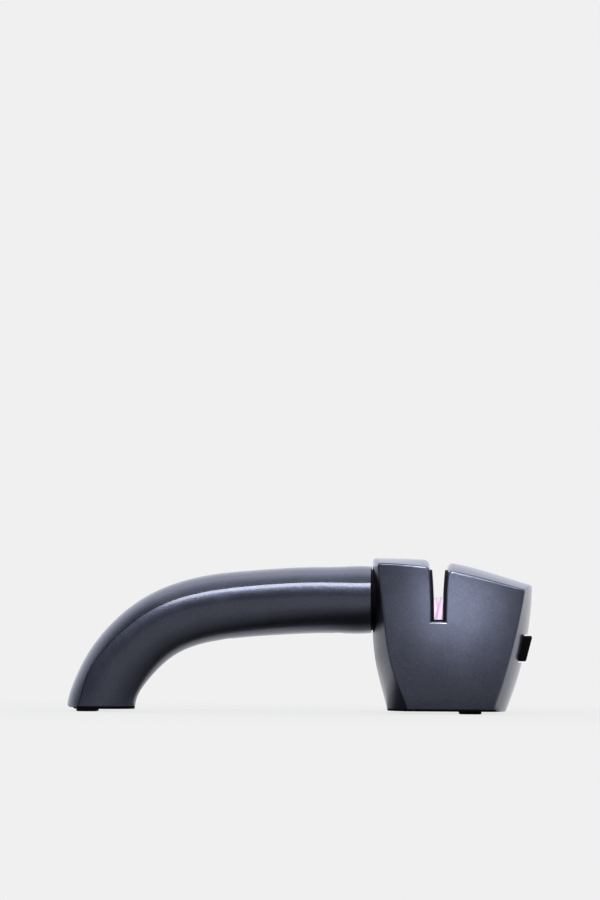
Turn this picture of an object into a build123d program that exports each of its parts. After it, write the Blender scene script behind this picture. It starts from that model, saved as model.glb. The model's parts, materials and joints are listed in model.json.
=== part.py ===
"""Pull-through knife sharpener: crowned head, bent handle, sharpening module and release pad.

Millimetres. X runs along the sharpener from the handle's leg to the end of the head, Y across it and
Z up. The origin is on the table, under the middle of the length.
"""
import os

from math import cos, radians, sin, tan

from build123d import *

os.makedirs("parts", exist_ok=True)

# Head: side outline in the middle plane
head_left_x = 31.4
head_top_z = 66.4
head_top_middle = (65.2, 64.5)
head_right_x = 99.7
head_right_top_z = 55.1
head_end_belly = (96.8, 28.0)
head_foot_right_x = 88.6
head_foot_left_x = 38.0
head_left_low = (32.7, 22.5)
head_left_high = (31.2, 45.0)
head_top_slope = -0.01
head_drop_slope = -0.28
head_right_drop_share = 0.66

# Head: width, and how far the rim falls back from the middle plane to the flat faces
head_width = 46.0
crown_top = 3.9
crown_top_left = 2.5
crown_left_top = 2.1
crown_left_high = 4.8
crown_left_low = 6.6
crown_left_foot = 8.8
crown_right_top = 3.5
crown_right_drop = 2.2
crown_end_belly = 5.8
crown_right_foot = 5.7
head_wall = 2.4
head_corner_radius = 1.6
face_edge_radius = 1.0

# Levels above the table
foot_height = 1.1
skirt_height = 0.9
plate_right_x = 84.1
frame_floor = 2.0

# Knife slot: half width of the black lining's clear gap at the floor, halfway up and above the head
slot_x = 59.6
slot_floor_z = 40.0
slot_floor_half = 1.88
slot_middle = (2.28, 55.0)
slot_top_half = 3.75
slot_overrun = 3.6
slot_mouth_radius = 2.5
slot_lip = 1.6
lining_wall = 0.85
lining_floor = 0.6
lining_fit = 0.05
lining_recess = 1.3
lining_drop = 5.2
lining_nest = 2.0

# Sharpening module
module_half_length = 13.0
module_half_width = 11.9
module_top_z = 50.0
module_base_z = 1.4
module_base_thick = 2.6
module_cavity_top_z = 17.0
module_wall = 1.8
module_arm_block = 4.5
module_post_radius = 2.4
module_edge_radius = 0.6
module_screw_left = (-8.6, 7.6)
module_screw_right = (5.8, -7.6)
module_screw_head_height = 1.1
module_screw_recess = 0.2
module_screw_length = 10.0
rod_support_radius = 1.5
rod_support_gap = 0.15
finger_notch_length = 14.0
finger_notch_width = 3.0
finger_notch_depth = 1.0
module_clearance = 0.25
bay_wall = 1.8
bay_roof = 1.8
frame_side_gap = 0.15

# Ceramic rods, crossing on the slot's middle line
rod_radius = 2.1
rod_lean = 15.0
rod_cross_z = 38.2
rod_top_z = 49.2
rod_bottom_z = 18.4
rod_pitch = 5.0
rod_fit = 0.06
rod_count = 4

# Latch arm
arm_half_width = 4.0
arm_thick = 0.5
arm_side_gap = 0.8
arm_pocket_depth = 3.9
arm_pocket_top_z = 36.0
arm_foot_z = 6.2
arm_screw_z = 10.0
arm_screw_radius = 0.9
arm_screw_head_radius = 1.9
arm_screw_head_height = 0.8
arm_screw_length = 3.2
arm_screw_fit = 0.05
arm_seat_depth = 1.6
arm_seat_top_z = 14.2
tooth_z = 24.0
tooth_reach = 1.5
tooth_tip = 0.9
tooth_bend = 0.7
tooth_top_z = 31.5
arm_top_z = 33.5
tooth_gap = 0.15
latch_window_top_z = 33.4

# Release pad
pad_z = 28.0
pad_height = 10.9
pad_half_width = 12.6
pad_face_x = 98.35
pad_face_lean = 14.2
pad_window_gap = 0.65
window_corner_radius = 1.6
pad_corner_radius = 1.2
pad_edge_radius = 0.7
flange_margin = 1.3
flange_thick = 1.4
pad_clearance = 0.3
plunger_radius = 3.3
plunger_tip_gap = 0.75
plunger_fit = 0.08
spring_seat_radius = 5.6
spring_seat_x = 89.1
window_start_x = 83.1
plunger_chamfer = 0.6
spring_end_gap = 0.02
guide_x = 78.9
guide_thick = 2.4
guide_half_width = 7.0
guide_top_z = 34.5
spring_wire_radius = 0.4
spring_radius = 4.4
spring_turns = 5

# Base screws and housing posts
left_post_x = 48.5
left_post_inset = 5.7
right_post_x = 80.9
right_post_inset = 7.4
post_radius = 3.0
post_gap = 0.3
screw_radius = 1.25
screw_hole_radius = 1.3
screw_head_radius = 2.4
screw_head_height = 1.6
screw_clear_radius = 1.5
screw_head_gap = 0.25
screw_drive_share = 0.45
screw_drive_depth_share = 0.6
screw_tip_gap = 1.0
base_screw_length = 12.0
base_screw_recess = 0.5

# Head feet
head_foot_x = 73.3
head_foot_inset = 5.6
head_foot_radius = 4.8
foot_recess = 0.6
foot_edge = 0.3

# Handle stations from the head to the leg, evenly spaced along its middle line: middle x, middle z,
# lean from upright in degrees, height across the handle and depth of the crowned top band
handle_stations = [
    (31.0, 48.5, 0.0, 28.6, 7.2),
    (17.3, 48.3, 0.6, 28.6, 7.0),
    (4.0, 48.1, 1.6, 28.5, 6.8),
    (-9.3, 47.4, 3.4, 28.5, 6.8),
    (-22.3, 46.4, 6.0, 28.4, 6.9),
    (-34.8, 45.0, 10.5, 28.4, 7.1),
    (-47.3, 42.2, 19.5, 28.2, 7.0),
    (-58.3, 37.6, 29.0, 28.0, 6.7),
    (-68.1, 30.4, 40.0, 28.0, 6.4),
    (-75.9, 21.9, 50.0, 27.9, 5.7),
    (-82.2, 11.2, 63.0, 27.8, 5.1),
    (-86.6, -2.2, 70.0, 26.6, 4.7),
]
handle_half_width_head = 17.0
handle_half_width_leg = 15.5
shoulder_share = 0.93
widest_share = 0.30
lower_curve_share = 0.76
lower_curve_width = 0.74
handle_wall = 2.2
handle_end_radius = 0.4
parting_gap = 0.2
leg_floor_z = 2.3
crown_end_z = 1.8

# Handle connector
connector_inset = 1.2
connector_head_gap = 0.05
tenon_half_width = 11.0
tenon_low_z = 42.0
tenon_high_z = 56.0
tenon_end_gap = 0.25
spigot_end_x = 3.7
spigot_half_width = 9.5
spigot_low_z = 41.2
spigot_high_z = 55.6
spigot_fit = 0.1
end_wall = 2.2
collar_length = 8.0
tenon_fit = 0.1
saddle_thick = 3.6
saddle_x = 36.3
saddle_screw_x = 41.8
saddle_screw_y = 3.4
saddle_screw_radius = 0.9
saddle_screw_head_radius = 1.6
saddle_screw_fit = 0.05
saddle_screw_gap = 0.2
saddle_screw_length = 12.0

# Handle screws and bosses
front_screw_x = 16.7
rear_screw_x = -31.3
boss_radius = 4.2
front_screw_seat_z = 38.4
front_screw_tip_z = 59.2
rear_screw_seat_z = 36.0
rear_screw_tip_z = 55.0
handle_tip_gap = 0.5
boss_meet_z = 45.0
cap_screw_x = -82.4
cap_plug_height = 7.0
cap_boss_top_z = 20.0
cap_boss_radius = 3.4
cap_screw_length = 12.0
cap_recess_z = 3.4
cap_wall = 1.8
rib_half_thick = 1.2
rib_end_x = -52.3

# Handle foot
handle_foot_x = -90.7
handle_foot_length = 20.0
handle_foot_width = 8.8


def head_outline(y, inset):
    """The head's outline in the upright plane at this y, drawn in by inset except at its foot."""
    fall = (y / (head_width / 2)) ** 2
    drop = head_right_drop_share * inset
    left_top = (head_left_x + fall * crown_left_top + inset, head_top_z - fall * crown_top_left - inset)
    middle_top = (head_top_middle[0], head_top_middle[1] - fall * crown_top - inset)
    right_top = (
        head_right_x - fall * crown_right_top - inset,
        head_right_top_z - fall * crown_right_drop - drop,
    )
    belly = (head_end_belly[0] - fall * crown_end_belly - inset, head_end_belly[1])
    right_foot = (head_foot_right_x - fall * crown_right_foot - inset, foot_height)
    left_foot = (head_foot_left_x + fall * crown_left_foot + inset, foot_height)
    left_low = (head_left_low[0] + fall * crown_left_low + inset, head_left_low[1])
    left_high = (head_left_high[0] + fall * crown_left_high + inset, head_left_high[1])
    return left_top, middle_top, right_top, belly, right_foot, left_foot, left_low, left_high


def head_form(inset):
    """The head's crowned solid, drawn in by inset on all sides but its foot."""
    half = head_width / 2 - inset
    with BuildPart() as form:
        for share in (-1.0, -0.5, 0.0, 0.5, 1.0):
            y = share * half
            left_top, middle_top, right_top, belly, right_foot, left_foot, left_low, left_high = (
                head_outline(y, inset)
            )
            with BuildSketch(Plane.XZ.offset(-y)):
                with BuildLine():
                    Spline(
                        left_top,
                        middle_top,
                        right_top,
                        tangents=[(1, head_top_slope), (1, head_drop_slope)],
                    )
                    ThreePointArc(right_top, belly, right_foot)
                    Line(right_foot, left_foot)
                    Spline(
                        left_foot,
                        left_low,
                        left_high,
                        left_top,
                        tangents=[Vector(left_low) - Vector(left_foot), Vector(left_top) - Vector(left_high)],
                    )
                make_face()
        loft()
    return form.part


def slot_form(extra, floor_z):
    """The knife slot as a solid across the whole head, wider by extra on each side."""
    floor_half = slot_floor_half + extra
    middle_half = slot_middle[0] + extra
    top_half = slot_top_half + extra
    with BuildPart() as form:
        with BuildSketch(Plane.XZ):
            with BuildLine():
                Line((slot_x - floor_half, floor_z), (slot_x + floor_half, floor_z))
                ThreePointArc(
                    (slot_x + floor_half, floor_z),
                    (slot_x + middle_half, slot_middle[1]),
                    (slot_x + top_half, slot_top_z),
                )
                Line((slot_x + top_half, slot_top_z), (slot_x - top_half, slot_top_z))
                ThreePointArc(
                    (slot_x - top_half, slot_top_z),
                    (slot_x - middle_half, slot_middle[1]),
                    (slot_x - floor_half, floor_z),
                )
            make_face()
        extrude(amount=head_width, both=True)
    return form.part


def station_plane(station):
    """Plane across the handle at one station, with its local Y up the section."""
    x, z, lean, height, band = station
    return Plane(origin=(x, 0, z), x_dir=(0, 1, 0), z_dir=(cos(radians(lean)), 0, sin(radians(lean))))


def station_half_width(index):
    """Half width of the handle, easing from the head to the leg."""
    share = index / (len(handle_stations) - 1)
    return handle_half_width_head + share * (handle_half_width_leg - handle_half_width_head)


def handle_section(index, inset):
    """Section of the handle at one station: a crowned top on a rounded lower part."""
    height, band = handle_stations[index][3:]
    crease = height / 2 - band
    bottom = inset - height / 2
    widest = station_half_width(index) - inset
    shoulder = shoulder_share * station_half_width(index) - inset
    side = crease - bottom
    with BuildSketch(station_plane(handle_stations[index])) as section:
        with BuildLine():
            ThreePointArc((-shoulder, crease), (0, height / 2 - inset), (shoulder, crease))
            Spline(
                (shoulder, crease),
                (widest, crease - widest_share * side),
                (lower_curve_width * widest, crease - lower_curve_share * side),
                (0, bottom),
                (-lower_curve_width * widest, crease - lower_curve_share * side),
                (-widest, crease - widest_share * side),
                (-shoulder, crease),
            )
        make_face()
    return section.sketch


def handle_form(inset):
    """The handle as one solid from the head to below the table, drawn in all round by inset."""
    with BuildPart() as form:
        loft([handle_section(index, inset).face() for index in range(len(handle_stations))])
    return form.part


def crown_form(raise_by):
    """Everything above the handle's crease, raised a little along each section."""
    with BuildPart() as form:
        for index, station in enumerate(handle_stations):
            height, band = station[3:]
            crease = height / 2 - band + raise_by
            reach = station_half_width(index) + crown_overcut
            roof = height / 2 + crown_overcut
            with BuildSketch(station_plane(station)):
                with BuildLine():
                    Polyline((-reach, crease), (reach, crease), (reach, roof), (-reach, roof), close=True)
                make_face()
        loft()
    return form.part


def box_form(low, high):
    """A plain box between two corners, for trimming."""
    with BuildPart() as form:
        with BuildSketch(Plane.XY.offset(low[2])):
            with Locations(((low[0] + high[0]) / 2, (low[1] + high[1]) / 2)):
                Rectangle(high[0] - low[0], high[1] - low[1])
        extrude(amount=high[2] - low[2])
    return form.part


def post_form(points, radius, low_z, high_z):
    """Upright round posts between two levels, one for each point."""
    with BuildPart() as form:
        with BuildSketch(Plane.XY.offset(low_z)):
            with Locations(*points):
                Circle(radius)
        extrude(amount=high_z - low_z)
    return form.part


def shared_form(first, *others):
    """What several solids have in common."""
    with BuildPart() as form:
        add(first)
        for other in others:
            add(other, mode=Mode.INTERSECT)
    return form.part


def screw_form(points, head_z, head_height, length, radius=screw_radius, head_radius=screw_head_radius):
    """Pan-head screws standing on their heads at head_z, one for each point."""
    with BuildPart() as form:
        add(post_form(points, head_radius, head_z, head_z + head_height))
        add(post_form(points, radius, head_z + head_height, head_z + head_height + length))
        with BuildSketch(Plane.XY.offset(head_z)):
            with Locations(*points):
                RegularPolygon(screw_drive_share * head_radius, 6)
        extrude(amount=screw_drive_depth_share * head_height, mode=Mode.SUBTRACT)
    return form.part


# How far a cut runs past the face that it starts from, and how far bosses and posts reach into a wall
overcut = 1.0
crown_overcut = 5.0
embed_share = 0.5

# Places worked out from the sizes above
left_post_y = head_width / 2 - left_post_inset
right_post_y = head_width / 2 - right_post_inset
head_foot_y = head_width / 2 - head_foot_inset
head_foot_points = [(head_foot_x, head_foot_y), (head_foot_x, -head_foot_y)]
base_posts = [
    (left_post_x, left_post_y),
    (left_post_x, -left_post_y),
    (right_post_x, right_post_y),
    (right_post_x, -right_post_y),
]
slot_top_z = head_top_z + slot_overrun
lining_top_z = head_top_z - lining_drop
skirt_top_z = foot_height + skirt_height
base_top_z = skirt_top_z + frame_floor
base_screw_head_z = foot_height + base_screw_recess
base_screw_seat_z = base_screw_head_z + screw_head_height
foot_top_z = foot_height + foot_recess

bay_left_x = slot_x - module_half_length - module_clearance
bay_right_x = slot_x + module_half_length + module_clearance
bay_half_width = module_half_width + module_clearance
bay_top_z = module_top_z + module_clearance
module_left_x = slot_x - module_half_length
module_right_x = slot_x + module_half_length
module_floor_z = module_base_z + module_base_thick
module_screw_seat_z = module_base_z + module_screw_recess + module_screw_head_height
module_posts = [
    (slot_x + module_screw_left[0], module_screw_left[1]),
    (slot_x + module_screw_right[0], module_screw_right[1]),
]

plunger_tip_x = bay_right_x + bay_wall + plunger_tip_gap
tenon_end_x = bay_left_x - bay_wall - tenon_end_gap
saddle_screws = [(saddle_screw_x, saddle_screw_y), (saddle_screw_x, -saddle_screw_y)]
saddle_top_z = tenon_low_z - tenon_fit
saddle_low_z = saddle_top_z - saddle_thick

pad_low_z = pad_z - pad_height / 2
pad_high_z = pad_z + pad_height / 2
window_low_z = pad_low_z - pad_window_gap
window_high_z = pad_high_z + pad_window_gap
window_half_width = pad_half_width + pad_window_gap
beyond = head_right_x + head_width

head_outer = head_form(0)
head_inner = head_form(head_wall)
slot_outer = slot_form(lining_wall + lining_fit, slot_floor_z - lining_floor - lining_fit)
slot_lining = slot_form(lining_wall, slot_floor_z - lining_floor)
slot_clear = slot_form(0, slot_floor_z)
lip_layer = box_form((0, -head_width, lining_top_z - lining_nest), (beyond, head_width, 2 * head_top_z))
slot_lips = shared_form(slot_form(lining_wall + lining_fit + slot_lip, slot_floor_z), lip_layer)
lining_layer = box_form((0, -head_width, 0), (beyond, head_width, lining_top_z))
with BuildPart() as head_hollow:
    add(head_inner)
    add(slot_lips, mode=Mode.SUBTRACT)
with BuildPart() as handle_body:
    add(handle_form(0))
    fillet(handle_body.faces().sort_by(Axis.X)[-1].edges(), handle_end_radius)
handle_outer = handle_body.part
boss_limit = handle_form(embed_share * handle_wall)
handle_cavity = shared_form(
    handle_form(handle_wall),
    box_form((-beyond, -head_width, -head_top_z), (head_left_x - end_wall, head_width, head_top_z)),
)

with BuildPart() as head_housing:
    add(head_outer)
    corner_edges = head_housing.edges().filter_by(lambda edge: abs((edge % 0.5).Y) > 0.9)
    fillet(corner_edges.sort_by(Axis.Z)[-2:], head_corner_radius)
    add(slot_outer, mode=Mode.SUBTRACT)
    mouth_edges = (
        head_housing.edges()
        .filter_by(lambda edge: abs((edge % 0.5).Y) > 0.9)
        .filter_by_position(Axis.X, slot_x - 2 * slot_top_half, slot_x + 2 * slot_top_half)
        .sort_by(Axis.Z)[-2:]
    )
    fillet(mouth_edges, slot_mouth_radius)
    face_rims = head_housing.faces().filter_by(Plane.XZ).edges()
    fillet(face_rims, face_edge_radius)
    add(head_hollow, mode=Mode.SUBTRACT)
    add(
        shared_form(
            post_form(base_posts, post_radius, base_top_z, head_top_z),
            head_form(embed_share * head_wall),
        )
    )
    add(slot_outer, mode=Mode.SUBTRACT)
    add(
        box_form((-beyond, -head_width, -head_top_z), (plate_right_x, head_width, skirt_top_z)),
        mode=Mode.SUBTRACT,
    )
    with BuildSketch(Plane.YZ.offset(window_start_x)):
        with Locations((0, pad_z)):
            RectangleRounded(2 * window_half_width, pad_height + 2 * pad_window_gap, window_corner_radius)
    extrude(amount=beyond - window_start_x, mode=Mode.SUBTRACT)
    add(
        box_form(
            (0, -tenon_half_width - tenon_fit, tenon_low_z - tenon_fit),
            (tenon_end_x, tenon_half_width + tenon_fit, tenon_high_z + tenon_fit),
        ),
        mode=Mode.SUBTRACT,
    )
    add(
        post_form(
            base_posts,
            screw_hole_radius,
            base_top_z - overcut,
            base_screw_seat_z + base_screw_length + screw_tip_gap,
        ),
        mode=Mode.SUBTRACT,
    )
head_housing.part.label = "head_housing"

with BuildPart() as inner_frame:
    add(
        shared_form(
            head_outer,
            box_form((-beyond, -head_width, foot_height), (plate_right_x, head_width, skirt_top_z)),
        )
    )
    add(
        shared_form(
            head_form(head_wall + frame_side_gap),
            box_form((-beyond, -head_width, skirt_top_z), (beyond, head_width, base_top_z)),
        )
    )
    add(
        box_form(
            (bay_left_x - bay_wall, -bay_half_width - bay_wall, skirt_top_z),
            (bay_right_x + bay_wall, bay_half_width + bay_wall, bay_top_z + bay_roof),
        )
    )
    add(shared_form(slot_lining, head_form(lining_recess), lining_layer))
    add(
        box_form(
            (saddle_x, -tenon_half_width, saddle_low_z),
            (bay_left_x, tenon_half_width, saddle_top_z),
        )
    )
    add(
        box_form(
            (guide_x, -guide_half_width, skirt_top_z),
            (guide_x + guide_thick, guide_half_width, guide_top_z),
        )
    )
    add(
        box_form(
            (bay_left_x, -bay_half_width, 0),
            (bay_right_x, bay_half_width, bay_top_z),
        ),
        mode=Mode.SUBTRACT,
    )
    add(slot_clear, mode=Mode.SUBTRACT)
    add(
        box_form(
            (bay_right_x - overcut, -arm_half_width - arm_side_gap, tooth_z - tooth_gap),
            (bay_right_x + bay_wall + overcut, arm_half_width + arm_side_gap, latch_window_top_z),
        ),
        mode=Mode.SUBTRACT,
    )
    with BuildSketch(Plane.YZ.offset(guide_x)):
        with Locations((0, pad_z)):
            Circle(plunger_radius + plunger_fit)
    extrude(amount=guide_thick, mode=Mode.SUBTRACT)
    add(post_form(base_posts, post_radius + post_gap, base_top_z, head_top_z), mode=Mode.SUBTRACT)
    add(post_form(base_posts, screw_clear_radius, 0, base_top_z + overcut), mode=Mode.SUBTRACT)
    add(
        post_form(base_posts, screw_head_radius + screw_head_gap, 0, base_screw_seat_z),
        mode=Mode.SUBTRACT,
    )
    add(
        post_form(saddle_screws, saddle_screw_head_radius + saddle_screw_gap, 0, base_top_z + overcut),
        mode=Mode.SUBTRACT,
    )
    add(
        post_form(
            saddle_screws,
            saddle_screw_radius + saddle_screw_gap,
            saddle_low_z - overcut,
            saddle_top_z + overcut,
        ),
        mode=Mode.SUBTRACT,
    )
    add(post_form(head_foot_points, head_foot_radius, 0, foot_top_z), mode=Mode.SUBTRACT)
inner_frame.part.label = "inner_frame"

with BuildPart() as base_screws:
    add(screw_form(base_posts, base_screw_head_z, screw_head_height, base_screw_length))
base_screws.part.label = "base_screws"

with BuildPart() as head_foot_front:
    with BuildSketch(Plane.XY):
        with Locations((head_foot_x, -head_foot_y)):
            Circle(head_foot_radius)
    extrude(amount=foot_top_z)
    chamfer(head_foot_front.edges().sort_by(Axis.Z)[0], foot_edge)
head_foot_front.part.label = "head_foot_front"

with BuildPart() as head_foot_rear:
    with BuildSketch(Plane.XY):
        with Locations((head_foot_x, head_foot_y)):
            Circle(head_foot_radius)
    extrude(amount=foot_top_z)
    chamfer(head_foot_rear.edges().sort_by(Axis.Z)[0], foot_edge)
head_foot_rear.part.label = "head_foot_rear"

with BuildPart() as handle_connector:
    extrude(handle_section(0, connector_inset), amount=collar_length)
    add(head_form(-connector_head_gap), mode=Mode.SUBTRACT)
    add(
        box_form(
            (handle_stations[0][0], -tenon_half_width, tenon_low_z),
            (tenon_end_x, tenon_half_width, tenon_high_z),
        )
    )
    add(
        box_form(
            (spigot_end_x, -spigot_half_width, spigot_low_z),
            (handle_stations[0][0], spigot_half_width, spigot_high_z),
        )
    )
    add(
        post_form([(front_screw_x, 0)], screw_clear_radius, spigot_low_z - overcut, spigot_high_z + overcut),
        mode=Mode.SUBTRACT,
    )
    add(
        post_form(
            saddle_screws,
            saddle_screw_radius + saddle_screw_fit,
            tenon_low_z - overcut,
            saddle_low_z + saddle_screw_length + screw_tip_gap,
        ),
        mode=Mode.SUBTRACT,
    )
handle_connector.part.label = "handle_connector"

with BuildPart() as connector_screws:
    add(
        screw_form(
            saddle_screws,
            saddle_low_z - screw_head_height,
            screw_head_height,
            saddle_screw_length,
            saddle_screw_radius,
            saddle_screw_head_radius,
        )
    )
connector_screws.part.label = "connector_screws"

crown_above = crown_form(parting_gap)
crown_below = crown_form(0)
handle_end_x = handle_stations[0][0]
front_screw = [(front_screw_x, 0)]
rear_screw = [(rear_screw_x, 0)]
cap_screw = [(cap_screw_x, 0)]
cap_head_z = cap_recess_z - screw_head_height
cap_plug_top_z = leg_floor_z + cap_plug_height
above_crown_end = box_form((-beyond, -head_width, crown_end_z), (beyond, head_width, 2 * head_top_z))
above_leg_floor = box_form((-beyond, -head_width, leg_floor_z), (beyond, head_width, 2 * head_top_z))

with BuildPart() as handle_top_shell:
    add(shared_form(handle_outer, crown_above, above_crown_end))
    add(handle_cavity, mode=Mode.SUBTRACT)
    add(shared_form(boss_limit, post_form(front_screw, boss_radius, spigot_high_z, head_top_z)))
    add(shared_form(boss_limit, post_form(rear_screw, boss_radius, boss_meet_z, head_top_z)))
    add(
        box_form(
            (spigot_end_x, -spigot_half_width - spigot_fit, spigot_low_z - spigot_fit),
            (handle_end_x + overcut, spigot_half_width + spigot_fit, spigot_high_z + spigot_fit),
        ),
        mode=Mode.SUBTRACT,
    )
    add(
        post_form(front_screw, screw_hole_radius, spigot_high_z, front_screw_tip_z + handle_tip_gap),
        mode=Mode.SUBTRACT,
    )
    add(
        post_form(rear_screw, screw_hole_radius, boss_meet_z, rear_screw_tip_z + handle_tip_gap),
        mode=Mode.SUBTRACT,
    )
handle_top_shell.part.label = "handle_top_shell"

with BuildPart() as handle_bottom_shell:
    add(shared_form(handle_outer, above_leg_floor))
    add(crown_below, mode=Mode.SUBTRACT)
    add(handle_cavity, mode=Mode.SUBTRACT)
    add(shared_form(boss_limit, post_form(front_screw, boss_radius, 0, spigot_low_z)))
    add(shared_form(boss_limit, post_form(rear_screw, boss_radius, 0, boss_meet_z)))
    add(post_form(cap_screw, cap_boss_radius, cap_plug_top_z, cap_boss_top_z))
    add(
        shared_form(
            boss_limit,
            box_form(
                (cap_screw_x, -rib_half_thick, cap_plug_top_z),
                (rib_end_x, rib_half_thick, cap_boss_top_z),
            ),
        )
    )
    add(
        box_form(
            (spigot_end_x, -spigot_half_width - spigot_fit, spigot_low_z - spigot_fit),
            (handle_end_x + overcut, spigot_half_width + spigot_fit, spigot_high_z + spigot_fit),
        ),
        mode=Mode.SUBTRACT,
    )
    add(post_form(front_screw, screw_clear_radius, 0, head_top_z), mode=Mode.SUBTRACT)
    add(post_form(rear_screw, screw_clear_radius, 0, head_top_z), mode=Mode.SUBTRACT)
    add(
        post_form(front_screw, screw_head_radius + screw_head_gap, 0, front_screw_seat_z),
        mode=Mode.SUBTRACT,
    )
    add(
        post_form(rear_screw, screw_head_radius + screw_head_gap, 0, rear_screw_seat_z),
        mode=Mode.SUBTRACT,
    )
    add(
        post_form(cap_screw, screw_hole_radius, 0, cap_recess_z + cap_screw_length + screw_tip_gap),
        mode=Mode.SUBTRACT,
    )
handle_bottom_shell.part.label = "handle_bottom_shell"

with BuildPart() as handle_screws:
    add(
        screw_form(
            front_screw,
            front_screw_seat_z - screw_head_height,
            screw_head_height,
            front_screw_tip_z - front_screw_seat_z,
        )
    )
    add(
        screw_form(
            rear_screw,
            rear_screw_seat_z - screw_head_height,
            screw_head_height,
            rear_screw_tip_z - rear_screw_seat_z,
        )
    )
handle_screws.part.label = "handle_screws"

with BuildPart() as handle_end_cap:
    cap_layer = box_form((-beyond, -head_width, foot_height), (0, head_width, leg_floor_z))
    add(shared_form(handle_outer, cap_layer))
    add(shared_form(crown_form(-parting_gap), cap_layer), mode=Mode.SUBTRACT)
    add(
        shared_form(
            handle_form(handle_wall + frame_side_gap),
            box_form((-beyond, -head_width, foot_height), (0, head_width, cap_plug_top_z)),
        )
    )
    add(
        shared_form(
            handle_form(handle_wall + frame_side_gap + cap_wall),
            box_form((-beyond, -head_width, leg_floor_z + cap_wall), (0, head_width, cap_plug_top_z)),
        ),
        mode=Mode.SUBTRACT,
    )
    add(post_form(cap_screw, cap_boss_radius, leg_floor_z, cap_plug_top_z))
    add(post_form(cap_screw, screw_clear_radius, 0, cap_plug_top_z + overcut), mode=Mode.SUBTRACT)
    add(post_form(cap_screw, screw_head_radius + screw_head_gap, 0, cap_recess_z), mode=Mode.SUBTRACT)
    with BuildSketch(Plane.XY):
        with Locations((handle_foot_x, 0)):
            SlotOverall(handle_foot_length, handle_foot_width, rotation=90)
    extrude(amount=foot_top_z, mode=Mode.SUBTRACT)
handle_end_cap.part.label = "handle_end_cap"

with BuildPart() as end_cap_screw:
    add(screw_form(cap_screw, cap_head_z, screw_head_height, cap_screw_length))
end_cap_screw.part.label = "end_cap_screw"

with BuildPart() as handle_foot:
    with BuildSketch(Plane.XY):
        with Locations((handle_foot_x, 0)):
            SlotOverall(handle_foot_length, handle_foot_width, rotation=90)
    extrude(amount=foot_top_z)
    chamfer(handle_foot.faces().sort_by(Axis.Z)[0].edges(), foot_edge)
handle_foot.part.label = "handle_foot"


def rod_form(number, radius, low_z, high_z):
    """A round bar along one rod's line, which leans left or right by turns."""
    y = (number - (rod_count - 1) / 2) * rod_pitch
    side = -1 if number % 2 == 0 else 1
    low_x = slot_x + side * (rod_cross_z - low_z) * tan(radians(rod_lean))
    high_x = slot_x - side * (high_z - rod_cross_z) * tan(radians(rod_lean))
    line = Vector(high_x - low_x, 0, high_z - low_z)
    with BuildPart() as form:
        with BuildSketch(Plane(origin=(low_x, y, low_z), x_dir=(0, 1, 0), z_dir=line)):
            Circle(radius)
        extrude(amount=line.length)
    return form.part


def rod_foot(number):
    """Point under one rod's lower end."""
    y = (number - (rod_count - 1) / 2) * rod_pitch
    side = -1 if number % 2 == 0 else 1
    return slot_x + side * (rod_cross_z - rod_bottom_z) * tan(radians(rod_lean)), y


rod_low_point_z = rod_bottom_z - rod_radius * sin(radians(rod_lean))

with BuildPart() as module_body:
    add(
        box_form(
            (module_left_x, -module_half_width, module_floor_z),
            (module_right_x, module_half_width, module_top_z),
        )
    )
    fillet(module_body.edges().filter_by(Axis.Z), module_edge_radius)
    add(
        box_form(
            (module_left_x + module_wall, -module_half_width + module_wall, module_floor_z),
            (module_right_x - module_arm_block, module_half_width - module_wall, module_cavity_top_z),
        ),
        mode=Mode.SUBTRACT,
    )
    add(post_form(module_posts, module_post_radius, module_floor_z, module_cavity_top_z))
    add(slot_clear, mode=Mode.SUBTRACT)
    rod_hole_low_z = module_cavity_top_z - rod_radius
    for number in range(rod_count):
        rod_hole = rod_form(number, rod_radius + rod_fit, rod_hole_low_z, rod_top_z + rod_fit)
        add(rod_hole, mode=Mode.SUBTRACT)
    add(
        box_form(
            (module_right_x - arm_pocket_depth, -arm_half_width - arm_side_gap, arm_seat_top_z),
            (bay_right_x, arm_half_width + arm_side_gap, arm_pocket_top_z),
        ),
        mode=Mode.SUBTRACT,
    )
    add(
        box_form(
            (module_right_x - arm_seat_depth, -arm_half_width - arm_side_gap, arm_foot_z - arm_side_gap),
            (bay_right_x, arm_half_width + arm_side_gap, arm_seat_top_z + overcut),
        ),
        mode=Mode.SUBTRACT,
    )
    with BuildSketch(Plane.YZ.offset(module_right_x - arm_seat_depth)):
        with Locations((0, arm_screw_z)):
            Circle(arm_screw_radius + arm_screw_fit)
    extrude(amount=-arm_screw_length, mode=Mode.SUBTRACT)
    add(
        post_form(
            module_posts,
            screw_hole_radius,
            module_floor_z,
            module_screw_seat_z + module_screw_length + screw_tip_gap,
        ),
        mode=Mode.SUBTRACT,
    )
module_body.part.label = "module_body"

with BuildPart() as module_base:
    add(
        box_form(
            (module_left_x, -module_half_width, module_base_z),
            (module_right_x, module_half_width, module_floor_z),
        )
    )
    fillet(module_base.edges().filter_by(Axis.Z), module_edge_radius)
    for number in range(rod_count):
        add(
            post_form(
                [rod_foot(number)],
                rod_support_radius,
                module_base_z + finger_notch_depth,
                rod_low_point_z - rod_support_gap,
            )
        )
    add(post_form(module_posts, screw_clear_radius, 0, module_floor_z), mode=Mode.SUBTRACT)
    add(
        post_form(module_posts, screw_head_radius + screw_head_gap, 0, module_screw_seat_z),
        mode=Mode.SUBTRACT,
    )
    add(
        post_form(head_foot_points, head_foot_radius + module_clearance, 0, foot_top_z + module_clearance),
        mode=Mode.SUBTRACT,
    )
    add(
        box_form(
            (slot_x - finger_notch_length / 2, -finger_notch_width / 2, 0),
            (slot_x + finger_notch_length / 2, finger_notch_width / 2, module_base_z + finger_notch_depth),
        ),
        mode=Mode.SUBTRACT,
    )
module_base.part.label = "module_base"

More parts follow.
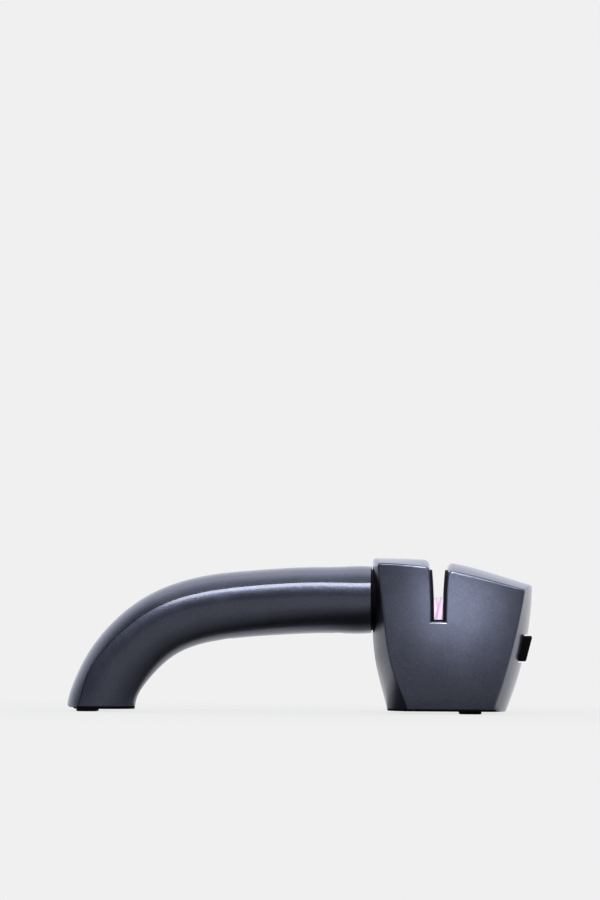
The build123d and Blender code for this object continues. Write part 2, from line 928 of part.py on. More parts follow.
with BuildPart() as module_screws:
    add(
        screw_form(
            module_posts,
            module_screw_seat_z - module_screw_head_height,
            module_screw_head_height,
            module_screw_length,
        )
    )
module_screws.part.label = "module_screws"

rods = []
for number in range(rod_count):
    rod = rod_form(number, rod_radius, rod_bottom_z, rod_top_z)
    rod.label = "ceramic_rod_" + str(number + 1)
    rods.append(rod)

arm_x = module_right_x - arm_seat_depth
tooth_tip_x = bay_right_x + tooth_reach
with BuildPart() as latch_arm:
    with BuildSketch(Plane.XZ):
        with BuildLine():
            Polyline(
                (arm_x, arm_foot_z),
                (arm_x + arm_thick, arm_foot_z),
                (arm_x + arm_thick, tooth_z),
                (tooth_tip_x, tooth_z),
                (tooth_tip_x, tooth_z + tooth_tip),
                (arm_x + arm_thick, tooth_top_z),
                (arm_x + arm_thick, arm_top_z),
                (arm_x, arm_top_z),
                (arm_x, tooth_top_z - arm_thick),
                (tooth_tip_x - tooth_bend, tooth_z + arm_thick),
                (arm_x, tooth_z + arm_thick),
                close=True,
            )
        make_face()
    extrude(amount=arm_half_width, both=True)
    with BuildSketch(Plane.YZ.offset(arm_x)):
        with Locations((0, arm_screw_z)):
            Circle(arm_screw_radius + arm_screw_fit)
    extrude(amount=arm_thick, mode=Mode.SUBTRACT)
latch_arm.part.label = "latch_arm"

with BuildPart() as latch_screw:
    with BuildSketch(Plane.YZ.offset(arm_x + arm_thick)):
        with Locations((0, arm_screw_z)):
            Circle(arm_screw_head_radius)
    extrude(amount=arm_screw_head_height)
    with BuildSketch(Plane.YZ.offset(arm_x + arm_thick)):
        with Locations((0, arm_screw_z)):
            Circle(arm_screw_radius)
    extrude(amount=-arm_screw_length)
    with BuildSketch(Plane.YZ.offset(arm_x + arm_thick + arm_screw_head_height)):
        with Locations((0, arm_screw_z)):
            RegularPolygon(screw_drive_share * arm_screw_head_radius, 6)
    extrude(amount=-screw_drive_depth_share * arm_screw_head_height, mode=Mode.SUBTRACT)
latch_screw.part.label = "latch_screw"

flange_inset = head_wall + pad_clearance
pad_face_rise = 0.5 * pad_height * tan(radians(pad_face_lean))
with BuildPart() as pad_block:
    with BuildSketch(Plane.YZ.offset(window_start_x)):
        with Locations((0, pad_z)):
            RectangleRounded(2 * pad_half_width, pad_height, pad_corner_radius)
    extrude(amount=beyond - window_start_x)
with BuildPart() as pad_wedge:
    with BuildSketch(Plane.XZ):
        with BuildLine():
            Polyline(
                (window_start_x, pad_low_z),
                (pad_face_x - pad_face_rise, pad_low_z),
                (pad_face_x + pad_face_rise, pad_high_z),
                (window_start_x, pad_high_z),
                close=True,
            )
        make_face()
    extrude(amount=pad_half_width, both=True)
with BuildPart() as release_pad:
    add(shared_form(pad_block.part, pad_wedge.part))
    pad_face = release_pad.faces().sort_by(Axis.X)[-1]
    fillet(pad_face.edges(), pad_edge_radius)
    add(head_form(flange_inset + flange_thick), mode=Mode.SUBTRACT)
    add(
        shared_form(
            box_form(
                (window_start_x, -window_half_width - flange_margin, window_low_z - flange_margin),
                (beyond, window_half_width + flange_margin, window_high_z + flange_margin),
            ),
            head_form(flange_inset),
        )
    )
    add(head_form(flange_inset + flange_thick), mode=Mode.SUBTRACT)
    with BuildSketch(Plane.YZ.offset(spring_seat_x)):
        with Locations((0, pad_z)):
            Circle(spring_seat_radius)
    extrude(until=Until.NEXT)
    with BuildSketch(Plane.YZ.offset(plunger_tip_x)):
        with Locations((0, pad_z)):
            Circle(plunger_radius)
    extrude(amount=spring_seat_x - plunger_tip_x)
    chamfer(release_pad.faces().sort_by(Axis.X)[0].edges(), plunger_chamfer)
release_pad.part.label = "release_pad"

spring_low_x = guide_x + guide_thick + spring_wire_radius + spring_end_gap
spring_high_x = spring_seat_x - spring_wire_radius - spring_end_gap
spring_length = spring_high_x - spring_low_x
with BuildPart() as pad_spring:
    with BuildLine() as coil:
        Helix(
            spring_length / spring_turns,
            spring_length,
            spring_radius,
            center=(spring_low_x, 0, pad_z),
            direction=(1, 0, 0),
        )
    with BuildSketch(Plane(origin=coil.line @ 0, z_dir=coil.line % 0)):
        Circle(spring_wire_radius)
    sweep(is_frenet=True)
pad_spring.part.label = "pad_spring"
print("spring gap between turns", round(spring_length / spring_turns - 2 * spring_wire_radius, 2))

pieces = [
    head_housing, inner_frame, base_screws, head_foot_front, head_foot_rear, handle_connector,
    connector_screws, handle_top_shell, handle_bottom_shell, handle_screws, handle_end_cap,
    end_cap_screw, handle_foot, module_body, module_base, module_screws, latch_arm, latch_screw,
    release_pad, pad_spring,
]
for solid in [piece.part for piece in pieces] + rods:
    print(solid.label, round(solid.volume, 1), solid.is_valid)
    export_step(solid, "parts/" + solid.label + ".step")
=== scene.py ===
"""Looks of the pull-through knife sharpener: finishes, the pad's spring, studio light and camera.

Metres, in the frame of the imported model: X from the handle's leg to the head, Y across, Z up.
"""
import json
import math

import bpy
from mathutils import Matrix, Vector


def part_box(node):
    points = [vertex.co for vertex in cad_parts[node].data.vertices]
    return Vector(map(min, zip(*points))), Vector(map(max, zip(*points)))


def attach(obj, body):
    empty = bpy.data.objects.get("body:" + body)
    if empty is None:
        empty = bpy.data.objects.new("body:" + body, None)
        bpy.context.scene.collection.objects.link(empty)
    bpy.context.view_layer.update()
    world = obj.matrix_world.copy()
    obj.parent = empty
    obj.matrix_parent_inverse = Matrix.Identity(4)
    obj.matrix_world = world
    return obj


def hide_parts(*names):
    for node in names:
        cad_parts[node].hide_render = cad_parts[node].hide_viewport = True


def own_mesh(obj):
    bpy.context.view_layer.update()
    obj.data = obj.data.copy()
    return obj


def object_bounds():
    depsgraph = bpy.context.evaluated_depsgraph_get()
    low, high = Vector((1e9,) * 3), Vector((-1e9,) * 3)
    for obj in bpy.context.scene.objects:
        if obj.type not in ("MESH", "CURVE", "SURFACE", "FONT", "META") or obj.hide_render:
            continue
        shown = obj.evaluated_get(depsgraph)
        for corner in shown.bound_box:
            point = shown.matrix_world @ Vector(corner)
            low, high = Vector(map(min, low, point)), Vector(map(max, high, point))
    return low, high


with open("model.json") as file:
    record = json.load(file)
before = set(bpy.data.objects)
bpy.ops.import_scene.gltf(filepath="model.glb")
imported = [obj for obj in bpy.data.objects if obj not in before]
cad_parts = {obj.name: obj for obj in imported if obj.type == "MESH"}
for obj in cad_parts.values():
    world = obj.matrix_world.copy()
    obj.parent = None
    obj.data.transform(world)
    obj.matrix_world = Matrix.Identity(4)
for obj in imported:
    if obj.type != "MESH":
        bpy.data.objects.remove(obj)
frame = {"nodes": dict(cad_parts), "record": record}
cad_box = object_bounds()
MM = 0.001

# Camera: a long lens level with the head, a little right of the middle of the object
sensor_height = 36.0
camera_distance = 2.0
camera_x = 0.0557
camera_z = 0.031
camera_reach = 1000.0
roll_slope = 0.00654

# Photograph: its height, its middle, the model's origin in it, and the scale from a known length
photo_height = 900
aim_pixel = (300.0, 450.0)
origin_pixel = (300.5, 712.4)
length_pixels = 466
real_length = 0.200
pixels_per_metre = length_pixels / real_length

# Colours, as linear RGB
lacquer_base = (0.090, 0.097, 0.142)
lacquer_flake = (0.130, 0.142, 0.206)
moulding_base = (0.0050, 0.0048, 0.0062)
dust_colour = (0.25, 0.24, 0.23)
rubber_base = (0.008, 0.008, 0.009)
rubber_bloom = (0.045, 0.043, 0.041)
ceramic_base = (0.86, 0.66, 0.85)
ceramic_deep = (0.70, 0.47, 0.70)
zinc_base = (0.42, 0.42, 0.43)
spring_base = (0.50, 0.48, 0.45)
white = (1.0, 1.0, 1.0, 1.0)
room_tint = (0.95, 0.98, 1.08, 1.0)
lamp_tint = (0.97, 0.985, 1.0)

# Ranges: none to all, and the middle of a noise, where most of it lies
rising = (0.0, 1.0)
noise_middle = (0.3, 0.7)

# Surface grain, worn edges, on the lacquer also painted sheen, and settled dust, which the finishes
# share; scales are per metre
fine_detail = 2.0
broad_detail = 4.0
broad_rough = 0.6
edge_samples = 4
edge_turn = (0.995, 0.80)
dust_upward = (0.5, 1.0)
dust_cloud_scale = 220.0
dust_cloud_detail = 5.0
dust_cloud_rough = 0.65
dust_patch = (0.42, 0.72)

# Anthracite lacquer: grain, flakes, tone, edges lightened by wear and painted sheen, gloss, clear
# coat and relief
lacquer_grain = (2600.0, 90.0)
flake_scale = 5200.0
flake_tone = (0.45, 1.0)
lacquer_cloud = (0.92, 1.08)
lacquer_edge_radius = 0.35 * MM
lacquer_edge_wear_and_sheen = 0.25
lacquer_metal = (0.86, 1.0)
lacquer_rough = (0.30, 0.36)
coat_weight = 0.8
coat_rough = 0.14
lacquer_relief = 0.008 * MM
lacquer_round_radius = 0.3 * MM
lacquer_round_samples = 6

# Black moulding: grain, how much paler its clouds and its rubbed edges are, dust, gloss and relief
moulding_grain = (3800.0, 140.0)
moulding_cloud_tone = 1.5
moulding_rubbed_tone = 4.0
moulding_edge_radius = 0.25 * MM
moulding_edge_wear = 0.45
moulding_dust = 0.03
moulding_rough = (0.46, 0.62)
moulding_gloss = 0.05
moulding_relief = 0.03 * MM

# Black rubber: grain, patches of bloom, gloss and relief
rubber_grain = (5000.0, 300.0)
bloom_patch = (0.35, 0.75)
bloom_share = (0.0, 0.35)
rubber_rough = (0.72, 0.88)
rubber_relief = 0.02 * MM

# Pink ceramic: grain, specks, uneven colour, gloss, light inside it and relief
ceramic_grain = (7000.0, 500.0)
speck_scale = 5000.0
speck_detail = 2.0
speck_tone = (0.60, 0.72)
speck_share = (0.0, 0.45)
ceramic_patch = (0.35, 0.7)
ceramic_share = (0.0, 0.3)
ceramic_rough = (0.38, 0.55)
ceramic_glow = 0.15
ceramic_glow_reach = (0.0012, 0.0008, 0.0010)
ceramic_relief = 0.008 * MM

# Screw and spring steel: grain, how it is drawn out, worn edges, stains, gloss and relief
steel_grain = (1500.0, 400.0)
screw_streak = (1.0, 1.0, 0.2)
spring_streak = (1.0, 1.0, 0.15)
steel_edge_radius = 0.15 * MM
steel_edge_wear = 0.5
steel_worn_tone = 1.5
stain_patch = (0.4, 0.75)
stain_share = (0.0, 0.5)
stain_tone = 0.6
screw_rough = (0.28, 0.45)
spring_rough = (0.22, 0.36)
steel_relief = 0.006 * MM

# The pad's return spring: wire, turns, and how finely its coil is meshed
coil_wire_radius = 0.4 * MM
coil_turns = 5
coil_steps = 36
coil_sides = 14

# World: how bright it is in front, at the sides, above, at the back and at the left, and each fade
backdrop_white = 0.871
room_level = 0.16
side_level = 0.03
room_fade = (-0.75, -0.35)
above_level = 0.14
above_fade = (0.3, 0.9)
mirror_level = 0.93
mirror_fade = (0.10, 0.55)
left_share = 0.66
left_fade = (-0.9, -0.5)

# Floor: its half size, the pale tone that the camera sees and the dark tone that catches light
floor_half = 400.0
pale_cloud_scale = 3.0
pale_cloud_detail = 2.0
pale_tone = (0.865, 0.877)
table_tone = 0.06
floor_camera_share = 0.85
shadow_reach = 0.16

# Floor seen in reflections: shares left in front, and painted shade by the leg and by the head's left
# foot
sweep_depth = 0.06
front_share = 0.48
leg_shade_share = 0.60
leg_shade_fade = (-0.12, 0.02)
foot_shade = 0.25
foot_shade_place = (0.030, 0.005, 0.0)
foot_shade_reach = (0.010, 0.040)

# Floor seen in reflections: the soft edges of the object's own shadow, aslant from leg to head
head_foot_setback = 0.012
side_fade = 0.006
front_fade = 0.060
front_slant = 0.55
back_slant = 0.2
back_fade = (0.0, 0.008)
rim_share = 0.82
rim_fade = (-0.10, -0.02)

# The two spots that make the soft glow on the head's face share their place, target and radius
glow_place = (0.10, -0.95, 0.28)
glow_target = (0.0668, -0.023, 0.045)
glow_radius = 0.012


def new_material(name):
    """A material with an empty node tree but its output."""
    material = bpy.data.materials.new(name)
    material.use_nodes = True
    tree = material.node_tree
    tree.nodes.clear()
    output = tree.nodes.new("ShaderNodeOutputMaterial")
    return material, tree, output


def set_inputs(node, values):
    """Sets a node's inputs by name; an underscore stands for a space."""
    for key, value in values.items():
        node.inputs[key.replace("_", " ")].default_value = value


def add_node(tree, kind, **values):
    """One node, with these values in its inputs."""
    node = tree.nodes.new(kind)
    set_inputs(node, values)
    return node


def link(tree, source, target):
    """Joins two sockets."""
    tree.links.new(source, target)


def set_or_link(tree, value, socket):
    """Gives a socket a fixed number or point, or joins it to another socket."""
    if isinstance(value, (int, float, tuple)):
        socket.default_value = value
    else:
        link(tree, value, socket)


def new_group(name, inputs, outputs):
    """A shader node group with named sockets: inputs with their defaults, and outputs."""
    group = bpy.data.node_groups.new(name, "ShaderNodeTree")
    for label, kind, default in inputs:
        socket = group.interface.new_socket(label, in_out="INPUT", socket_type=kind)
        if default is not None:
            socket.default_value = default
    for label, kind in outputs:
        group.interface.new_socket(label, in_out="OUTPUT", socket_type=kind)
    entry = group.nodes.new("NodeGroupInput")
    leave = group.nodes.new("NodeGroupOutput")
    return group, entry, leave


def place_group(tree, group, vector=None, **values):
    """A node group placed in a material, with this material's values."""
    node = tree.nodes.new("ShaderNodeGroup")
    node.node_tree = group
    set_inputs(node, values)
    if vector is not None:
        link(tree, vector, node.inputs["Vector"])
    return node


def noise(tree, place, scale, detail, rough=0.5):
    """A noise texture at a scale per metre, which may come from a socket."""
    node = add_node(tree, "ShaderNodeTexNoise", Detail=detail, Roughness=rough)
    set_or_link(tree, scale, node.inputs["Scale"])
    link(tree, place, node.inputs["Vector"])
    return node.outputs["Fac"]


def math_node(tree, operation, first, second):
    """Joins two sockets or numbers by an operation."""
    node = tree.nodes.new("ShaderNodeMath")
    node.operation = operation
    set_or_link(tree, first, node.inputs[0])
    set_or_link(tree, second, node.inputs[1])
    return node.outputs[0]


def vector_value(tree, operation, first, second=None):
    """One number from one vector, or from two, of which the second may be a fixed point."""
    node = tree.nodes.new("ShaderNodeVectorMath")
    node.operation = operation
    link(tree, first, node.inputs[0])
    if second is not None:
        set_or_link(tree, second, node.inputs[1])
    return node.outputs["Value"]


def split_axes(tree, vector):
    """The X, Y and Z of a vector."""
    node = tree.nodes.new("ShaderNodeSeparateXYZ")
    link(tree, vector, node.inputs[0])
    return node.outputs


def spread(tree, value, given, wanted):
    """Maps a value from one range to another, held inside the second."""
    node = tree.nodes.new("ShaderNodeMapRange")
    link(tree, value, node.inputs["Value"])
    node.inputs["From Min"].default_value, node.inputs["From Max"].default_value = given
    node.inputs["To Min"].default_value, node.inputs["To Max"].default_value = wanted
    return node.outputs["Result"]


def mix_colour(tree, share, first, second):
    """Blends two colours, each a socket or a fixed colour."""
    node = tree.nodes.new("ShaderNodeMix")
    node.data_type = "RGBA"
    link(tree, share, node.inputs["Factor"])
    for label, value in (("A", first), ("B", second)):
        socket = [s for s in node.inputs if s.name == label and s.type == "RGBA"][0]
        set_or_link(tree, (*value, 1.0) if isinstance(value, tuple) else value, socket)
    return [s for s in node.outputs if s.type == "RGBA"][0]


def mix_shaders(tree, share, first, second):
    """Blends two shaders."""
    node = tree.nodes.new("ShaderNodeMixShader")
    link(tree, share, node.inputs[0])
    link(tree, first.outputs[0], node.inputs[1])
    link(tree, second.outputs[0], node.inputs[2])
    return node


def toned(colour, factor):
    """A fixed colour made paler or darker."""
    return tuple(factor * channel for channel in colour)


def make_grain_group():
    """Fine surface grain, a height for bumps, and broad clouds for tone, each at a chosen scale."""
    group, entry, leave = new_group(
        "surface_grain",
        [("Vector", "NodeSocketVector", None), ("Fine Scale", "NodeSocketFloat", 3000.0),
         ("Broad Scale", "NodeSocketFloat", 120.0)],
        [("Height", "NodeSocketFloat"), ("Broad", "NodeSocketFloat")],
    )
    place = entry.outputs["Vector"]
    fine = noise(group, place, entry.outputs["Fine Scale"], fine_detail)
    broad = noise(group, place, entry.outputs["Broad Scale"], broad_detail, broad_rough)
    link(group, fine, leave.inputs["Height"])
    link(group, broad, leave.inputs["Broad"])
    return group


def make_edge_group():
    """A mask along sharp outer edges, from how far a rounded normal turns from the real one."""
    group, entry, leave = new_group(
        "edge_mask",
        [("Radius", "NodeSocketFloat", 0.0004), ("Breakup", "NodeSocketFloat", 0.5)],
        [("Mask", "NodeSocketFloat")],
    )
    rounded = group.nodes.new("ShaderNodeBevel")
    rounded.samples = edge_samples
    link(group, entry.outputs["Radius"], rounded.inputs["Radius"])
    surface = group.nodes.new("ShaderNodeNewGeometry")
    turn = vector_value(group, "DOT_PRODUCT", rounded.outputs["Normal"], surface.outputs["Normal"])
    edge = spread(group, turn, edge_turn, rising)
    link(group, math_node(group, "MULTIPLY", edge, entry.outputs["Breakup"]), leave.inputs["Mask"])
    return group


def make_dust_group():
    """A thin film that gathers on faces that look up."""
    group, entry, leave = new_group(
        "settled_dust",
        [("Vector", "NodeSocketVector", None), ("Amount", "NodeSocketFloat", 0.1)],
        [("Mask", "NodeSocketFloat")],
    )
    surface = group.nodes.new("ShaderNodeNewGeometry")
    up = spread(group, split_axes(group, surface.outputs["Normal"])["Z"], dust_upward, rising)
    cloud = noise(
        group, entry.outputs["Vector"], dust_cloud_scale, dust_cloud_detail, dust_cloud_rough
    )
    film = math_node(group, "MULTIPLY", up, spread(group, cloud, dust_patch, rising))
    link(group, math_node(group, "MULTIPLY", film, entry.outputs["Amount"]), leave.inputs["Mask"])
    return group


grain_group = make_grain_group()
edge_group = make_edge_group()
dust_group = make_dust_group()


def object_place(tree):
    """Object coordinates, which are metres in the model's own frame."""
    return tree.nodes.new("ShaderNodeTexCoord").outputs["Object"]


def place_grain(tree, place, scales):
    """The surface grain at its fine and broad scales: the height and the broad clouds."""
    grain = place_group(tree, grain_group, place, Fine_Scale=scales[0], Broad_Scale=scales[1])
    return grain.outputs["Height"], grain.outputs["Broad"]


def edges_worn_and_sheened(tree, radius, wear):
    """The edge mask at a radius, with a share of full wear; on the lacquer it also paints sheen."""
    return place_group(tree, edge_group, Radius=radius, Breakup=wear).outputs["Mask"]


def bump(tree, height, distance, base=None):
    """A bump whose height is in metres, on the surface's own normal or on a given one."""
    node = add_node(tree, "ShaderNodeBump", Strength=1.0, Distance=distance)
    link(tree, height, node.inputs["Height"])
    if base is not None:
        link(tree, base, node.inputs["Normal"])
    return node.outputs["Normal"]


def rounded_normal(tree, radius):
    """A normal that turns smoothly over an edge, as thick paint does."""
    node = tree.nodes.new("ShaderNodeBevel")
    node.samples = lacquer_round_samples
    node.inputs["Radius"].default_value = radius
    return node.outputs["Normal"]


def add_shader(tree, output, colour, rough, normal, **values):
    """The finish's shader with its fixed values, joined to the material's output."""
    shader = add_node(tree, "ShaderNodeBsdfPrincipled", **values)
    link(tree, colour, shader.inputs["Base Color"])
    link(tree, rough, shader.inputs["Roughness"])
    link(tree, normal, shader.inputs["Normal"])
    link(tree, shader.outputs[0], output.inputs["Surface"])
    return shader


def anthracite_lacquer():
    """Satin pearl lacquer: dark blue grey with bright flakes, and a clear coat with orange peel."""
    material, tree, output = new_material("anthracite_lacquer")
    place = object_place(tree)
    height, broad = place_grain(tree, place, lacquer_grain)
    flake = add_node(tree, "ShaderNodeTexVoronoi", Scale=flake_scale)
    link(tree, place, flake.inputs["Vector"])
    tone = tree.nodes.new("ShaderNodeSeparateColor")
    link(tree, flake.outputs["Color"], tone.inputs[0])
    bright = spread(tree, tone.outputs[0], flake_tone, rising)
    body = mix_colour(tree, bright, lacquer_base, lacquer_flake)
    clouded = tree.nodes.new("ShaderNodeVectorMath")
    clouded.operation = "SCALE"
    link(tree, body, clouded.inputs[0])
    link(tree, spread(tree, broad, noise_middle, lacquer_cloud), clouded.inputs["Scale"])
    # Edges lightened towards the flake colour: partly wear, partly painted sheen.
    edge = edges_worn_and_sheened(tree, lacquer_edge_radius, lacquer_edge_wear_and_sheen)
    worn_and_sheened_colour = mix_colour(tree, edge, clouded.outputs[0], lacquer_flake)
    rough = spread(tree, broad, noise_middle, lacquer_rough)
    relief = bump(tree, height, lacquer_relief, rounded_normal(tree, lacquer_round_radius))
    shader = add_shader(
        tree, output, worn_and_sheened_colour, rough, relief, Coat_Weight=coat_weight, Coat_Roughness=coat_rough
    )
    metal = spread(tree, tone.outputs[1], rising, lacquer_metal)
    link(tree, metal, shader.inputs["Metallic"])
    return material


def black_moulding():
    """Black plastic with a spark-eroded texture."""
    material, tree, output = new_material("black_moulding")
    place = object_place(tree)
    height, broad = place_grain(tree, place, moulding_grain)
    cloud = spread(tree, broad, noise_middle, rising)
    body = mix_colour(tree, cloud, moulding_base, toned(moulding_base, moulding_cloud_tone))
    edge = edges_worn_and_sheened(tree, moulding_edge_radius, moulding_edge_wear)
    rubbed = mix_colour(tree, edge, body, toned(moulding_base, moulding_rubbed_tone))
    dust = place_group(tree, dust_group, place, Amount=moulding_dust)
    dusty = mix_colour(tree, dust.outputs["Mask"], rubbed, dust_colour)
    rough = spread(tree, height, noise_middle, moulding_rough)
    relief = bump(tree, height, moulding_relief)
    add_shader(tree, output, dusty, rough, relief, Specular_IOR_Level=moulding_gloss)
    return material


def black_rubber():
    """Matt rubber with a faint moulded grain and a dusty bloom."""
    material, tree, output = new_material("black_rubber")
    height, broad = place_grain(tree, object_place(tree), rubber_grain)
    cloud = spread(tree, broad, bloom_patch, bloom_share)
    body = mix_colour(tree, cloud, rubber_base, rubber_bloom)
    rough = spread(tree, height, noise_middle, rubber_rough)
    add_shader(tree, output, body, rough, bump(tree, height, rubber_relief))
    return material


def pink_ceramic():
    """Ground pink ceramic: fine speckle and slightly uneven colour."""
    material, tree, output = new_material("pink_ceramic")
    place = object_place(tree)
    height, broad = place_grain(tree, place, ceramic_grain)
    dots = spread(tree, noise(tree, place, speck_scale, speck_detail), speck_tone, speck_share)
    cloud = spread(tree, broad, ceramic_patch, ceramic_share)
    body = mix_colour(tree, cloud, ceramic_base, ceramic_deep)
    dotted = mix_colour(tree, dots, body, ceramic_deep)
    rough = spread(tree, height, noise_middle, ceramic_rough)
    relief = bump(tree, height, ceramic_relief)
    add_shader(
        tree, output, dotted, rough, relief,
        Subsurface_Weight=ceramic_glow, Subsurface_Radius=ceramic_glow_reach, Subsurface_Scale=1.0,
    )
    return material


def steel(name, colour, streak, roughness):
    """Bright steel with drawn streaks and faint stains."""
    material, tree, output = new_material(name)
    stretch = add_node(tree, "ShaderNodeMapping", Scale=streak)
    link(tree, object_place(tree), stretch.inputs["Vector"])
    height, broad = place_grain(tree, stretch.outputs[0], steel_grain)
    stain = spread(tree, broad, stain_patch, stain_share)
    body = mix_colour(tree, stain, colour, toned(colour, stain_tone))
    edge = edges_worn_and_sheened(tree, steel_edge_radius, steel_edge_wear)
    bright = mix_colour(tree, edge, body, toned(colour, steel_worn_tone))
    rough = spread(tree, height, noise_middle, roughness)
    add_shader(tree, output, bright, rough, bump(tree, height, steel_relief), Metallic=1.0)
    return material


finishes = {
    "anthracite_shell": anthracite_lacquer(),
    "black_moulding": black_moulding(),
    "black_rubber": black_rubber(),
    "pink_ceramic": pink_ceramic(),
    "screw_steel": steel("screw_steel", zinc_base, screw_streak, screw_rough),
    "spring_steel": steel("spring_steel", spring_base, spring_streak, spring_rough),
}


def add_object(name, data):
    """An object in the scene, from its mesh, lamp or camera."""
    made = bpy.data.objects.new(name, data)
    bpy.context.scene.collection.objects.link(made)
    return made


def dress_nodes():
    """Gives every CAD node the finish of its material slot."""
    for row in frame["record"]["subparts"]:
        node = frame["nodes"][row["node"]]
        node.data.materials.clear()
        node.data.materials.append(finishes[row["material_slot"]])


def make_pad_coil():
    """The pad's return spring as a coil, which rides on the body in place of the CAD spring."""
    low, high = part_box("pad_spring")
    low_x = low[0] + coil_wire_radius
    length = high[0] - low[0] - 2 * coil_wire_radius
    radius = (high[1] - low[1]) / 2 - coil_wire_radius
    middle_z = (low[2] + high[2]) / 2
    count = coil_turns * coil_steps
    pitch_slope = length / (coil_turns * math.tau * radius)
    corners = []
    for step in range(count + 1):
        turn = math.tau * step / coil_steps
        outward = Vector((0, math.cos(turn), math.sin(turn)))
        along = Vector((pitch_slope, -math.sin(turn), math.cos(turn))).normalized()
        across = along.cross(outward)
        centre = Vector((low_x + length * step / count, 0, middle_z)) + radius * outward
        for side in range(coil_sides):
            angle = math.tau * side / coil_sides
            spoke = math.cos(angle) * outward + math.sin(angle) * across
            corners.append(centre + coil_wire_radius * spoke)
    faces = []
    for step in range(count):
        for side in range(coil_sides):
            here = step * coil_sides + side
            beside = step * coil_sides + (side + 1) % coil_sides
            faces.append((here, beside, beside + coil_sides, here + coil_sides))
    faces.append(tuple(reversed(range(coil_sides))))
    faces.append(tuple(count * coil_sides + side for side in range(coil_sides)))
    mesh = bpy.data.meshes.new("pad_coil")
    mesh.from_pydata(corners, [], faces)
    mesh.validate()
    for face in mesh.polygons:
        face.use_smooth = len(face.vertices) == 4
    mesh.materials.append(finishes["spring_steel"])
    coil = add_object("pad_coil", mesh)
    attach(coil, "body")
    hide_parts("pad_spring")
    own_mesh(coil)


def outside_footprint(tree, axes):
    """Zero in the object's own shadow, under its front half, and one a little way outside it."""
    left_end = cad_box[0][0]
    right_end = cad_box[1][0] - head_foot_setback
    front_side = cad_box[0][1]
    front_depth, back_depth = [
        math_node(tree, "ADD", axes["Y"], math_node(tree, "MULTIPLY", axes["X"], slant))
        for slant in (front_slant, back_slant)
    ]
    behind = spread(tree, back_depth, back_fade, rising)
    # Painted shade: behind the object the reflected floor dims towards the leg.
    toward_leg = spread(tree, axes["X"], rim_fade, (rim_share, 1.0))
    outside = math_node(tree, "MULTIPLY", behind, toward_leg)
    for value, near, far in (
        (axes["X"], left_end, left_end - side_fade),
        (axes["X"], right_end, right_end + side_fade),
        (front_depth, front_side, front_side - front_fade),
    ):
        outside = math_node(tree, "MAXIMUM", outside, spread(tree, value, (near, far), rising))
    return outside


def mirror_share(tree, place):
    """How much of the pale floor shows in reflections: less in front, and less near the object in a
    painted shadow.
    """
    axes = split_axes(tree, place)
    from_foot = vector_value(tree, "DISTANCE", place, foot_shade_place)
    share = spread(tree, axes["Y"], (-sweep_depth, sweep_depth), (front_share, 1.0))
    for other in (
        outside_footprint(tree, axes),
        spread(tree, axes["X"], leg_shade_fade, (leg_shade_share, 1.0)),
        spread(tree, from_foot, foot_shade_reach, (foot_shade, 1.0)),
    ):
        share = math_node(tree, "MULTIPLY", share, other)
    return share


def pale_floor():
    """A floor that looks pale to the camera and, behind the object, in reflections."""
    material, tree, output = new_material("pale_floor")
    place = object_place(tree)
    rays = tree.nodes.new("ShaderNodeLightPath").outputs
    cloud = noise(tree, place, pale_cloud_scale, pale_cloud_detail)
    tone = add_node(tree, "ShaderNodeMix", A=table_tone)
    link(tree, rays["Is Camera Ray"], tone.inputs["Factor"])
    link(tree, spread(tree, cloud, noise_middle, pale_tone), tone.inputs["B"])
    grey = tree.nodes.new("ShaderNodeCombineColor")
    for channel in ("Red", "Green", "Blue"):
        link(tree, tone.outputs[0], grey.inputs[channel])
    paper = tree.nodes.new("ShaderNodeBsdfDiffuse")
    link(tree, grey.outputs[0], paper.inputs["Color"])
    glow = add_node(tree, "ShaderNodeEmission", Strength=backdrop_white)
    mirrored = math_node(tree, "MAXIMUM", rays["Is Glossy Ray"], rays["Is Transmission Ray"])
    mirrored = math_node(tree, "MULTIPLY", mirrored, mirror_share(tree, place))
    reach = vector_value(tree, "LENGTH", place)
    far = spread(tree, reach, (shadow_reach, 2 * shadow_reach), (floor_camera_share, 1.0))
    seen = math_node(tree, "MULTIPLY", rays["Is Camera Ray"], far)
    blend = mix_shaders(tree, math_node(tree, "MAXIMUM", mirrored, seen), paper, glow)
    link(tree, blend.outputs[0], output.inputs["Surface"])
    return material


def make_floor():
    """A pale floor under the feet, far larger than the view."""
    mesh = bpy.data.meshes.new("floor")
    signs = ((-1, -1), (1, -1), (1, 1), (-1, 1))
    mesh.from_pydata([(x * floor_half, y * floor_half, 0) for x, y in signs], [], [(0, 1, 2, 3)])
    floor = add_object("floor", mesh)
    mesh.materials.append(pale_floor())


def make_world():
    """White for the camera; a white backdrop behind and a dim room in front for every other ray."""
    world = bpy.data.worlds.new("studio")
    bpy.context.scene.world = world
    world.use_nodes = True
    tree = world.node_tree
    tree.nodes.clear()
    output = tree.nodes.new("ShaderNodeOutputWorld")
    rays = tree.nodes.new("ShaderNodeLightPath")
    direction = split_axes(tree, tree.nodes.new("ShaderNodeTexCoord").outputs["Generated"])
    room = spread(tree, direction["Y"], room_fade, (room_level, side_level))
    above = spread(tree, direction["Z"], above_fade, (0.0, above_level))
    backdrop = spread(tree, direction["Y"], mirror_fade, (0.0, mirror_level))
    level = math_node(tree, "ADD", math_node(tree, "ADD", room, above), backdrop)
    toward_left = spread(tree, direction["X"], left_fade, (left_share, 1.0))
    around = add_node(tree, "ShaderNodeBackground", Color=room_tint)
    link(tree, math_node(tree, "MULTIPLY", level, toward_left), around.inputs["Strength"])
    plain = add_node(tree, "ShaderNodeBackground", Color=white, Strength=backdrop_white)
    blend = mix_shaders(tree, rays.outputs["Is Camera Ray"], around, plain)
    link(tree, blend.outputs[0], output.inputs["Surface"])


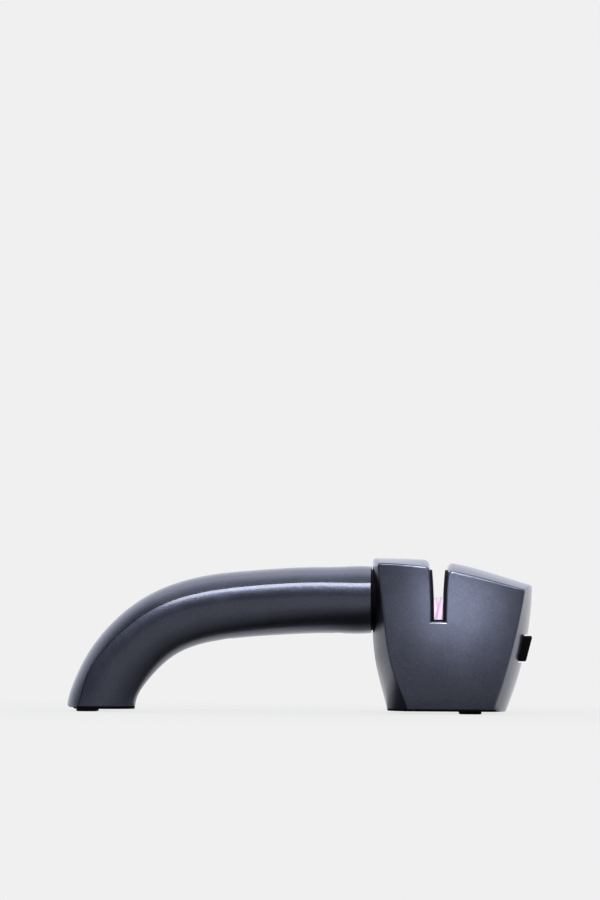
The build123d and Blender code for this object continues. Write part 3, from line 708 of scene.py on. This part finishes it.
def facing(place, target):
    """The turn that points a lamp or the camera from a place to a target."""
    return (Vector(target) - Vector(place)).to_track_quat("-Z", "Y")


def add_lamp(name, kind, place, target, power):
    """A lamp of one kind that faces a target."""
    light = bpy.data.lights.new(name, kind)
    light.energy = power
    light.color = lamp_tint
    lamp = add_object(name, light)
    lamp.location = place
    lamp.rotation_euler = facing(place, target).to_euler()
    return light


def add_softbox(name, place, target, width, height, power):
    """A rectangular soft lamp."""
    light = add_lamp(name, "AREA", place, target, power)
    light.shape = "RECTANGLE"
    light.size = width
    light.size_y = height


def add_spot(name, place, target, degrees, radius, power):
    """A soft-edged spotlight."""
    light = add_lamp(name, "SPOT", place, target, power)
    light.spot_size = math.radians(degrees)
    light.spot_blend = 1.0
    light.shadow_soft_size = radius


def make_lights():
    """A large softbox overhead, one at the right, one in front above, and small spots on the head."""
    add_softbox(
        "overhead_softbox", place=(0.03, 0.5, 2.6), target=(0.03, 0, 0),
        width=3.0, height=2.2, power=8.0,
    )
    add_softbox(
        "right_softbox", place=(1.6, 0.3, 0.7), target=(0.05, 0, 0.04),
        width=1.0, height=1.2, power=4.0,
    )
    add_softbox(
        "front_softbox", place=(-0.02, -1.66, 1.56), target=(0, 0, 0.05),
        width=1.6, height=0.55, power=24.0,
    )
    add_spot("head_spot", glow_place, glow_target, degrees=4.4, radius=glow_radius, power=3.0)
    add_spot("core_spot", glow_place, glow_target, degrees=2.6, radius=glow_radius, power=13.5)
    add_spot(
        "slot_spot", place=(0.06, -1.10, 1.15), target=(0.0596, -0.010, 0.050),
        degrees=0.9, radius=0.005, power=115.0,
    )


def make_camera():
    """A level long lens, turned so that the object lies low in the tall frame."""
    data = bpy.data.cameras.new("camera")
    camera = add_object("camera", data)
    bpy.context.scene.camera = camera
    data.sensor_fit = "VERTICAL"
    data.sensor_height = sensor_height
    data.lens = pixels_per_metre * camera_distance * sensor_height / photo_height
    data.clip_end = camera_reach
    target = (
        (aim_pixel[0] - origin_pixel[0]) / pixels_per_metre,
        0.0,
        (origin_pixel[1] - aim_pixel[1]) / pixels_per_metre,
    )
    place = (camera_x, -camera_distance, camera_z)
    roll = Matrix.Rotation(math.atan(roll_slope), 3, "Z")
    turn = facing(place, target).to_matrix() @ roll
    camera.matrix_world = Matrix.Translation(place) @ turn.to_4x4()


dress_nodes()
make_pad_coil()
make_floor()
make_world()
make_lights()
make_camera()
bpy.context.scene.view_settings.view_transform = "Standard"
